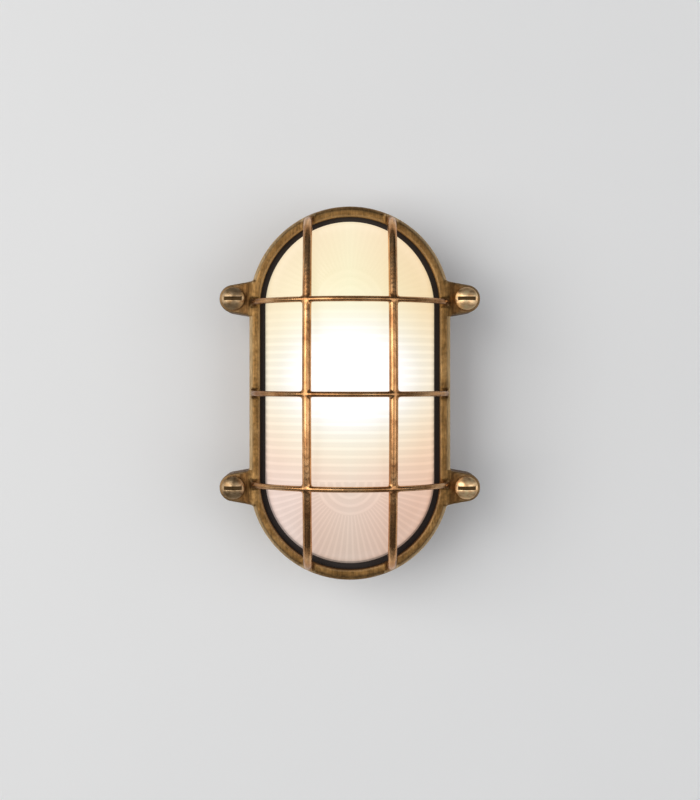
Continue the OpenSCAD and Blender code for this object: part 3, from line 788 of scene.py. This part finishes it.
def copy_node(node: str, name: str) -> bpy.types.Object:
    """Copies a CAD node's mesh into a new piece and merges its loose triangles.

    Args:
        node: Name of the CAD node.
        name: Name of the new piece.

    Returns:
        The piece, at the origin.
    """
    piece = bpy.data.objects.new(name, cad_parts[node].data.copy())
    piece.data.materials.clear()
    bpy.context.scene.collection.objects.link(piece)
    edit_all(piece)
    bpy.ops.mesh.remove_doubles(threshold=MERGE_MM * MM)
    bpy.ops.object.mode_set(mode="OBJECT")
    return piece


def break_edges(piece: bpy.types.Object, width: float, smooth: float) -> None:
    """Takes the sharpness off a piece's edges.

    Args:
        piece: The piece.
        width: Width of the broken edge, in millimetres.
        smooth: Angle under which faces shade as one, in degrees.
    """
    edit_all(piece)
    bpy.ops.mesh.dissolve_limited(angle_limit=math.radians(FLAT_DEGREES))
    bpy.ops.object.mode_set(mode="OBJECT")
    apply_modifier(piece, "BEVEL", width=width * MM, segments=EDGE_STEPS, limit_method="ANGLE",
                   angle_limit=math.radians(EDGE_DEGREES), use_clamp_overlap=True)
    take_up(piece)
    bpy.ops.object.shade_smooth_by_angle(angle=math.radians(smooth))


def dress(piece: bpy.types.Object, material: bpy.types.Material, slot: str, *nodes: str) -> None:
    """Gives a new piece its finish and its body, hides the CAD nodes that it stands for, and logs its slot.

    Args:
        piece: The piece.
        material: Its finish.
        slot: Name of its material slot, which is only logged.
        *nodes: CAD nodes that it replaces.
    """
    piece.data.materials.clear()
    piece.data.materials.append(material)
    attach(piece, "root")
    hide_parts(*nodes)
    LOG.info("%s: %d faces, %s", piece.name, len(piece.data.polygons), slot)


@dataclass
class Castings:
    """The guard and the wall box, cast in sand, with their edges and corners rounded."""

    guard_voxel: float = 0.75
    guard_passes: int = 5
    box_edge: float = 0.8
    box_smooth: float = 35.0

    def build_guard(self, material: bpy.types.Material) -> None:
        """Rounds the guard as one casting.

        Args:
            material: Its finish.
        """
        guard = copy_node("guard_casting", "cast_guard")
        voxel = self.guard_voxel * MM
        apply_modifier(guard, "REMESH", mode="VOXEL", voxel_size=voxel, adaptivity=0.0)
        apply_modifier(guard, "SMOOTH", factor=0.5, iterations=self.guard_passes)
        take_up(guard)
        bpy.ops.object.shade_smooth()
        dress(guard, material, "cast_brass", "guard_casting")

    def build_box(self, material: bpy.types.Material) -> None:
        """Softens the wall box's edges.

        Args:
            material: Its finish.
        """
        box = copy_node("box_casting", "cast_wall_box")
        break_edges(box, self.box_edge, self.box_smooth)
        apply_modifier(box, "WEIGHTED_NORMAL", weight=100, keep_sharp=True)
        dress(box, material, "cast_brass", "box_casting")


@dataclass
class GlassDome:
    """The pressed dome: one section carried round the oval, its crests raised and smoothed."""

    glass_r: float = 53.3
    flange_r: float = 57.4
    wall: float = 4.0
    flange_low: float = 48.4
    flange_high: float = 53.4
    outer_row: float = 56.0
    inner_row: float = 54.0
    soft: float = 0.35
    spring: float = 60.0
    rise: float = 30.65
    shoulder: float = 22.0
    crown_rows: int = 7
    crown_step: float = 3.0
    outer_bends: int = 8
    inner_radii: tuple[float, ...] = (0.0, 9.0, 18.0, 27.0, 36.0)
    inner_bends: int = 5
    rib_h: float = 0.7
    rib_base: float = 59.0
    flute_share: float = 0.6
    crown_end: float = 40.0
    shoulder_start: float = 44.0
    under_crown: float = 1.5
    skin: float = 0.1
    margin: float = 1.0
    seam: float = 0.01
    end_near: float = 1e-4
    row_near: float = 0.02
    ring_near: float = 0.05
    flute_start: float = 4.0
    flute_stop: float = 5.0

    def crown(self) -> float:
        """Finds the radius of the arc across the top.

        Returns:
            The radius, in millimetres.
        """
        flat = self.glass_r - self.shoulder
        return (flat ** 2 + self.rise ** 2 - self.shoulder ** 2) / (2 * (self.rise - self.shoulder))

    def arch(self, thick: float, radii: tuple[float, ...], bends: int) -> list[tuple[float, float]]:
        """Points of one face of the dome from its middle to where it turns straight.

        Args:
            thick: How far the face lies inside the outer one.
            radii: Places of the points on the crown, as radii on the outer face.
            bends: Number of steps round the shoulder.

        Returns:
            Radius and height of each point, in millimetres.
        """
        big = self.crown()
        lean = math.atan2(self.glass_r - self.shoulder, big - self.rise)
        base = self.spring + self.rise - big
        turns = [math.asin(r / big) for r in radii]
        points = [((big - thick) * math.sin(t), base + (big - thick) * math.cos(t)) for t in turns]
        middle = self.glass_r - self.shoulder
        small = self.shoulder - thick
        for step in range(bends + 1):
            t = lean + (math.pi / 2 - lean) * step / bends
            points.append((middle + small * math.sin(t), self.spring + small * math.cos(t)))
        return points

    def section(self) -> list[tuple[float, float]]:
        """The whole section: outer face, wall, flange and inner face.

        Returns:
            Radius and height of each point, in millimetres.
        """
        step, quarter = OVAL.rib / 2, OVAL.rib / 4
        rings = math.floor(OVAL.boss / step - 0.5)
        radii = [0.0] + [OVAL.boss - quarter - step * i for i in range(rings - 1, -1, -1)]
        radii += [OVAL.boss + quarter + self.crown_step * i for i in range(self.crown_rows)]
        outer = self.arch(0.0, tuple(radii), self.outer_bends)
        inner = self.arch(self.wall, self.inner_radii, self.inner_bends)
        soft, side = self.soft, self.glass_r
        low, high, far = self.flange_low, self.flange_high, self.flange_r
        inside = side - self.wall
        outer += [(side, self.outer_row), (side, high + soft), (side + soft, high)]
        outer += [(far - soft, high), (far, high - soft), (far, low + soft), (far - soft, low)]
        outer += [(inside + soft, low), (inside, low + soft), (inside, self.inner_row)]
        return outer + inner[::-1]

    def pick_section(self, piece: bpy.types.Object, side: float, level: float) -> None:
        """Selects the section that lies straight across at one end of the oval.

        Args:
            piece: The glass, in edit mode.
            side: 1 for the right and -1 for the left.
            level: Height of the section, in metres.
        """
        tiny = 1e-6
        bpy.ops.mesh.select_mode(type="VERT")
        bpy.ops.mesh.select_all(action="DESELECT")
        mesh = bmesh.from_edit_mesh(piece.data)
        for vert in mesh.verts:
            vert.select = abs(vert.co.z - level) < tiny and vert.co.x * side > -tiny
        mesh.select_flush_mode()
        bmesh.update_edit_mesh(piece.data)

    def pull_rows(self, up: float) -> None:
        """Draws the selected section along the straight side, a rib's half pitch at a time.

        Args:
            up: 1 for up and -1 for down.
        """
        half = OVAL.rib / 2
        rows = math.floor(OVAL.half_l / OVAL.rib - 0.5)
        start = OVAL.half_l - rows * OVAL.rib - half
        for step in [start] + [half] * (4 * rows + 2) + [start]:
            move = (0.0, 0.0, up * step * MM)
            bpy.ops.mesh.extrude_edges_move(TRANSFORM_OT_translate={"value": move})

    def spin_end(self, level: float) -> None:
        """Carries the selected section round one end of the oval.

        Args:
            level: Height of the end's axis, in metres.
        """
        bpy.ops.mesh.spin(steps=2 * OVAL.flutes, angle=math.pi, center=(0, 0, level), axis=(0, 1, 0))

    def outside(self, reach: float, out: float) -> bool:
        """Tells whether a point lies on the outer face over the ribs' foot.

        Args:
            reach: Distance from the oval's spine, in millimetres.
            out: Distance from the wall, in millimetres.

        Returns:
            Whether it does.
        """
        lowest = self.rib_base
        if reach < self.crown_end:
            lowest = max(lowest, self.arch(0.0, (reach,), 1)[0][1] - self.under_crown)
        if out < lowest or reach > self.glass_r + self.skin:
            return False
        from_bend = math.hypot(reach - self.glass_r + self.shoulder, out - self.spring)
        return reach <= self.shoulder_start or from_bend >= self.shoulder - self.margin

    def crest_weight(self, point: Vector) -> float:
        """How far a point of the mesh is raised into a rib, flute or ring.

        Args:
            point: Place of the point, in metres.

        Returns:
            Share of the rib's height, from 0 to 1.
        """
        x, out, z = point.x / MM, -point.y / MM, point.z / MM - OVAL.glass_lift
        past = abs(z) - OVAL.half_l
        reach = abs(x) if past <= 0 else math.hypot(x, past)
        if not self.outside(reach, out):
            return 0.0
        half = OVAL.rib / 2
        if past <= self.end_near:
            row = z / half
            on_rib = abs(row - round(row)) < self.row_near and round(row) % 2 == 0
            return 1.0 if on_rib and past < -self.margin else 0.0
        if reach < OVAL.boss:
            ring = (OVAL.boss - OVAL.rib / 4 - reach) / half
            on_ring = abs(ring - round(ring)) < self.ring_near and round(ring) % 2 == 0
            return 1.0 if on_ring and reach > self.margin else 0.0
        step = math.degrees(math.atan2(past, x)) / (90 / OVAL.flutes)
        rising = (reach - OVAL.boss + self.margin) / self.flute_start
        falling = (self.glass_r - self.margin - reach) / self.flute_stop
        fade = min(1.0, rising, falling)
        return max(0.0, fade) * self.flute_share if round(step) % 2 == 1 else 0.0

    def build(self, material: bpy.types.Material) -> None:
        """Models the glass.

        Args:
            material: Its finish.
        """
        top, bottom = mm(OVAL.half_l + OVAL.glass_lift, OVAL.glass_lift - OVAL.half_l)
        mesh = bpy.data.meshes.new("ribbed_glass")
        chain = [(r * MM, -out * MM, top) for r, out in self.section()]
        mesh.from_pydata(chain, [(i, i + 1) for i in range(len(chain) - 1)], [])
        piece = bpy.data.objects.new("ribbed_glass", mesh)
        bpy.context.scene.collection.objects.link(piece)
        edit_all(piece)
        self.spin_end(top)
        self.pick_section(piece, -1.0, top)
        self.pull_rows(-1.0)
        self.pick_section(piece, -1.0, bottom)
        self.spin_end(bottom)
        self.pick_section(piece, 1.0, bottom)
        self.pull_rows(1.0)
        bpy.ops.mesh.select_all(action="SELECT")
        bpy.ops.mesh.remove_doubles(threshold=self.seam * MM)
        bpy.ops.mesh.normals_make_consistent(inside=False)
        bpy.ops.object.mode_set(mode="OBJECT")
        group = piece.vertex_groups.new(name="crests")
        for vert in piece.data.vertices:
            weight = self.crest_weight(vert.co)
            if weight > 0:
                group.add([vert.index], weight, "REPLACE")
        height = self.rib_h * MM
        apply_modifier(piece, "DISPLACE", strength=height, mid_level=0.0, vertex_group="crests")
        apply_modifier(piece, "SUBSURF", levels=1, render_levels=1)
        piece.vertex_groups.clear()
        take_up(piece)
        bpy.ops.object.shade_smooth()
        dress(piece, material, "pressed_glass", "glass_dome")


@dataclass
class GuardScrews:
    """The four slotted screws, with the burr taken off their edges."""

    edge: float = 0.35
    smooth: float = 30.0

    def build(self, material: bpy.types.Material) -> None:
        """Breaks the edges of the heads and slots.

        Args:
            material: Their finish.
        """
        screws = copy_node("guard_screws", "slotted_screws")
        break_edges(screws, self.edge, self.smooth)
        dress(screws, material, "turned_brass", "guard_screws")


@dataclass
class InnerParts:
    """The pieces behind the glass and the rubber ones, whose CAD shapes stay as they are."""

    finishes: dict[str, bpy.types.Material]
    worn_by: dict[str, tuple[str, ...]] = field(default_factory=lambda: {
        "gasket_rubber": ("glass_gasket", "cable_grommet"),
        "lamp_glass": ("lamp",),
        "porcelain": ("holder_body",),
        "turned_brass": ("holder_shell", "centre_contact", "holder_posts", "terminal_tubes",
                         "earth_tag"),
        "zinc_steel": ("holder_bracket", "holder_screws", "bracket_screws", "bracket_washers",
                       "post_screws", "clamp_screws", "block_screws", "earth_screw", "earth_washer"),
        "block_plastic": ("terminal_block",),
        "live_sleeve": ("live_wire",),
        "neutral_sleeve": ("neutral_wire",),
        "earth_sleeve": ("earth_wire",),
    })

    def dress_all(self) -> None:
        """Gives every CAD node that stays its finish."""
        for finish, nodes in self.worn_by.items():
            for name in nodes:
                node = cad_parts[name]
                for slot in node.material_slots:
                    slot.material = self.finishes[finish]
                LOG.info("%s: %s", name, finish)


@dataclass(frozen=True)
class Softbox:
    """A square light, stood up and aimed at the object, in metres and watts."""

    name: str
    place: Point
    side: float
    watts: float
    code: str
    aim: Point = (0.0, -0.05, 0.0)

    def stand(self) -> None:
        """Adds the light to the scene."""
        data = bpy.data.lights.new(self.name, "AREA")
        data.shape = "RECTANGLE"
        data.size, data.size_y = self.side, self.side
        data.energy = self.watts
        data.color = linear(self.code)[:3]
        lamp = bpy.data.objects.new(self.name, data)
        lamp.location = self.place
        way = Vector(self.aim) - Vector(self.place)
        lamp.rotation_euler = way.to_track_quat("-Z", "Y").to_euler()
        bpy.context.scene.collection.objects.link(lamp)


@dataclass
class Studio:
    """A pale wall, open behind the box, a floor, soft lights beside the camera, and the camera."""

    wall: str = "#f4f5f6"
    wall_gap: float = 0.2
    wall_reach: float = 2500.0
    wall_steps: int = 96
    box_back: float = 57.5
    floor: str = "#e6e6e6"
    floor_drop: float = 2.4
    floor_reach: tuple[float, float] = (2.5, 1.2)
    paint_spots: float = 6.0
    paint_drift: float = 0.97
    shell: str = "#dcdddd"
    shell_r: float = 6.0
    lights: tuple[Softbox, ...] = (
        Softbox("key_softbox", (-1.2, -1.7, 0.25), 1.7, 22.0, "#fffdfa"),
        Softbox("fill_softbox", (1.3, -1.7, -0.1), 1.5, 8.0, "#fafbff"))
    sky_across: Stops = (
        (0.0, WHITE), (0.04, "#d8d8d8"), (0.12, "#8c8c8c"), (0.2, "#9a9a9a"), (0.3, WHITE),
        (0.68, "#f4f4f4"), (0.8, "#787878"), (0.92, "#6c6c6c"), (1.0, "#c0c0c0"))
    sky_upward: Stops = (
        (0.0, "#505050"), (0.2, "#4c4c4c"), (0.26, "#5c5c5c"), (0.34, WHITE), (0.68, WHITE),
        (0.76, "#5c5c5c"), (0.84, "#4c4c4c"), (1.0, "#6a6a6a"))
    sky_strength: float = 0.94
    eye: Point = (-0.004, -0.862, 0.0116)
    lens: float = 56.25
    sensor: float = 36.0
    shift_px: tuple[float, float] = (6.4, -24.9)
    tall_px: float = 800.0

    def oval(self, radius: float) -> list[Point]:
        """Points of an oval on the wall, from its right side round by its top.

        Args:
            radius: Radius of the oval's ends, in millimetres.

        Returns:
            Places of the points, in metres.
        """
        points = []
        for step in range(self.wall_steps):
            turn = WHOLE_TURN * (step + 0.5) / self.wall_steps
            rise = radius * math.sin(turn) + math.copysign(OVAL.half_l, math.sin(turn))
            points.append((radius * math.cos(turn) * MM, self.wall_gap * MM, rise * MM))
        return points

    def sheet(self, name: str, corners: list[Point], faces: list[tuple[int, ...]], code: str,
              one_sided: bool) -> None:
        """Adds a flat sheet of the stage.

        Args:
            name: Name of the sheet.
            corners: Its corners, in metres.
            faces: Its faces, by the numbers of their corners.
            code: Its colour.
            one_sided: Whether it is clear from behind.
        """
        mesh = bpy.data.meshes.new(name)
        mesh.from_pydata(corners, [], faces)
        sheet = bpy.data.objects.new(name, mesh)
        bpy.context.scene.collection.objects.link(sheet)
        material, nodes, shader = new_material(name + "_paint")
        spots = nodes.add("TexNoise", {"Vector": nodes.place(), "Scale": self.paint_spots}).outputs["Fac"]
        paint = linear(code)
        deeper = tuple(part * self.paint_drift for part in paint[:3]) + (1.0,)
        colour = nodes.blend(spots, paint, deeper)
        nodes.feed(shader, {"Base Color": colour, "Roughness": 0.9, "Specular IOR Level": 0.1})
        if one_sided:
            back = nodes.add("NewGeometry").outputs["Backfacing"]
            clear = nodes.add("BsdfTransparent").outputs[0]
            mixed = nodes.add("MixShader", {0: back, 1: shader.outputs[0], 2: clear})
            nodes.feed(nodes.tree.nodes["Material Output"], {"Surface": mixed.outputs[0]})
        mesh.materials.append(material)

    def surround(self) -> None:
        """Adds a pale shell round the stage for views from behind, which lights and mirrors nothing."""
        clear_selection()
        bpy.ops.mesh.primitive_uv_sphere_add(segments=64, ring_count=32, radius=self.shell_r)
        shell = bpy.context.object
        shell.name = "pale_surround"
        material, nodes, shader = new_material("pale_surround_paint")
        nodes.feed(shader, {
            "Base Color": linear(BLACK),
            "Specular IOR Level": 0.0,
            "Emission Color": linear(self.shell),
            "Emission Strength": 1.0,
        })
        shell.data.materials.append(material)
        for ray in ("diffuse", "glossy", "transmission", "volume_scatter", "shadow"):
            setattr(shell, "visible_" + ray, False)

    def sky(self) -> None:
        """Surrounds the scene with a broad soft light in front, dark at the sides, above and below."""
        world = bpy.data.worlds.new("studio")
        bpy.context.scene.world = world
        world.use_nodes = True
        nodes = Nodes(world.node_tree)
        way = nodes.split(nodes.add("TexCoord").outputs["Generated"])
        across = nodes.ramp(nodes.remap(way["X"], (-1.0, 1.0)), self.sky_across)
        upward = nodes.ramp(nodes.remap(way["Z"], (-1.0, 1.0)), self.sky_upward)
        light = nodes.blend(1.0, across, upward, way="MULTIPLY")
        nodes.feed(nodes.tree.nodes["Background"], {"Color": light, "Strength": self.sky_strength})

    def camera(self) -> None:
        """Sets the camera level with the middle of the light."""
        data = bpy.data.cameras.new("front_camera")
        data.lens = self.lens
        data.sensor_width = self.sensor
        data.shift_x = self.shift_px[0] / self.tall_px
        data.shift_y = self.shift_px[1] / self.tall_px
        eye = bpy.data.objects.new("front_camera", data)
        eye.location = self.eye
        eye.rotation_euler = (math.pi / 2, 0.0, 0.0)
        bpy.context.scene.collection.objects.link(eye)
        bpy.context.scene.camera = eye

    def build(self) -> None:
        """Sets the stage, the light and the camera."""
        drop, steps = self.floor_drop, self.wall_steps
        side, deep = self.floor_reach
        ring = [(i, i + steps, (i + 1) % steps + steps, (i + 1) % steps) for i in range(steps)]
        around = self.oval(self.box_back) + self.oval(self.wall_reach)
        corners = [(-side, -deep, -drop), (side, -deep, -drop), (side, deep, -drop), (-side, deep, -drop)]
        self.sheet("pale_wall", around, ring, self.wall, True)
        self.sheet("pale_floor", corners, [(0, 1, 2, 3)], self.floor, False)
        self.surround()
        for light in self.lights:
            light.stand()
        self.sky()
        self.camera()
        bpy.context.scene.view_settings.view_transform = "Standard"


def make_finishes() -> dict[str, bpy.types.Material]:
    """Makes every finish once.

    Returns:
        Materials by their finish's name.
    """
    moulded, glazed = Grain.MOULDED, Grain.GLAZED
    kinds = [
        CastBrass(),
        CastBrass("box_brass", edge_wear_and_highlight=0.0, corner_shade_share=0.0),
        TurnedBrass(),
        PressedGlass(),
        GasketRubber(),
        PlainFinish("lamp_glass", "#f5efe2", "#e6dccb", glazed, glow="#fff1d2"),
        PlainFinish("porcelain", "#efece4", "#e4dfd3", glazed, roughness=(0.12, 0.22)),
        PlainFinish("zinc_steel", "#c9ccd0", "#a4a8ae", Grain.DRAWN, 1.0, (0.28, 0.42)),
        PlainFinish("block_plastic", "#ece9e0", "#dedad0", moulded),
        PlainFinish("live_sleeve", "#7b4a2b", "#6a3d22", moulded),
        PlainFinish("neutral_sleeve", "#2f62a8", "#275390", moulded),
        PlainFinish("earth_sleeve", "#6fae35", "#5c9a2a", moulded),
    ]
    return {kind.name: kind.material() for kind in kinds}


def main() -> None:
    """Sets up the studio, then builds the light from its castings inwards."""
    logging.basicConfig(level=logging.INFO, format="%(message)s")
    Studio().build()
    finishes = make_finishes()
    castings = Castings()
    castings.build_guard(finishes["cast_brass"])
    castings.build_box(finishes["box_brass"])
    GlassDome().build(finishes["pressed_glass"])
    GuardScrews().build(finishes["turned_brass"])
    InnerParts(finishes).dress_all()


if __name__ == "__main__":
    main()
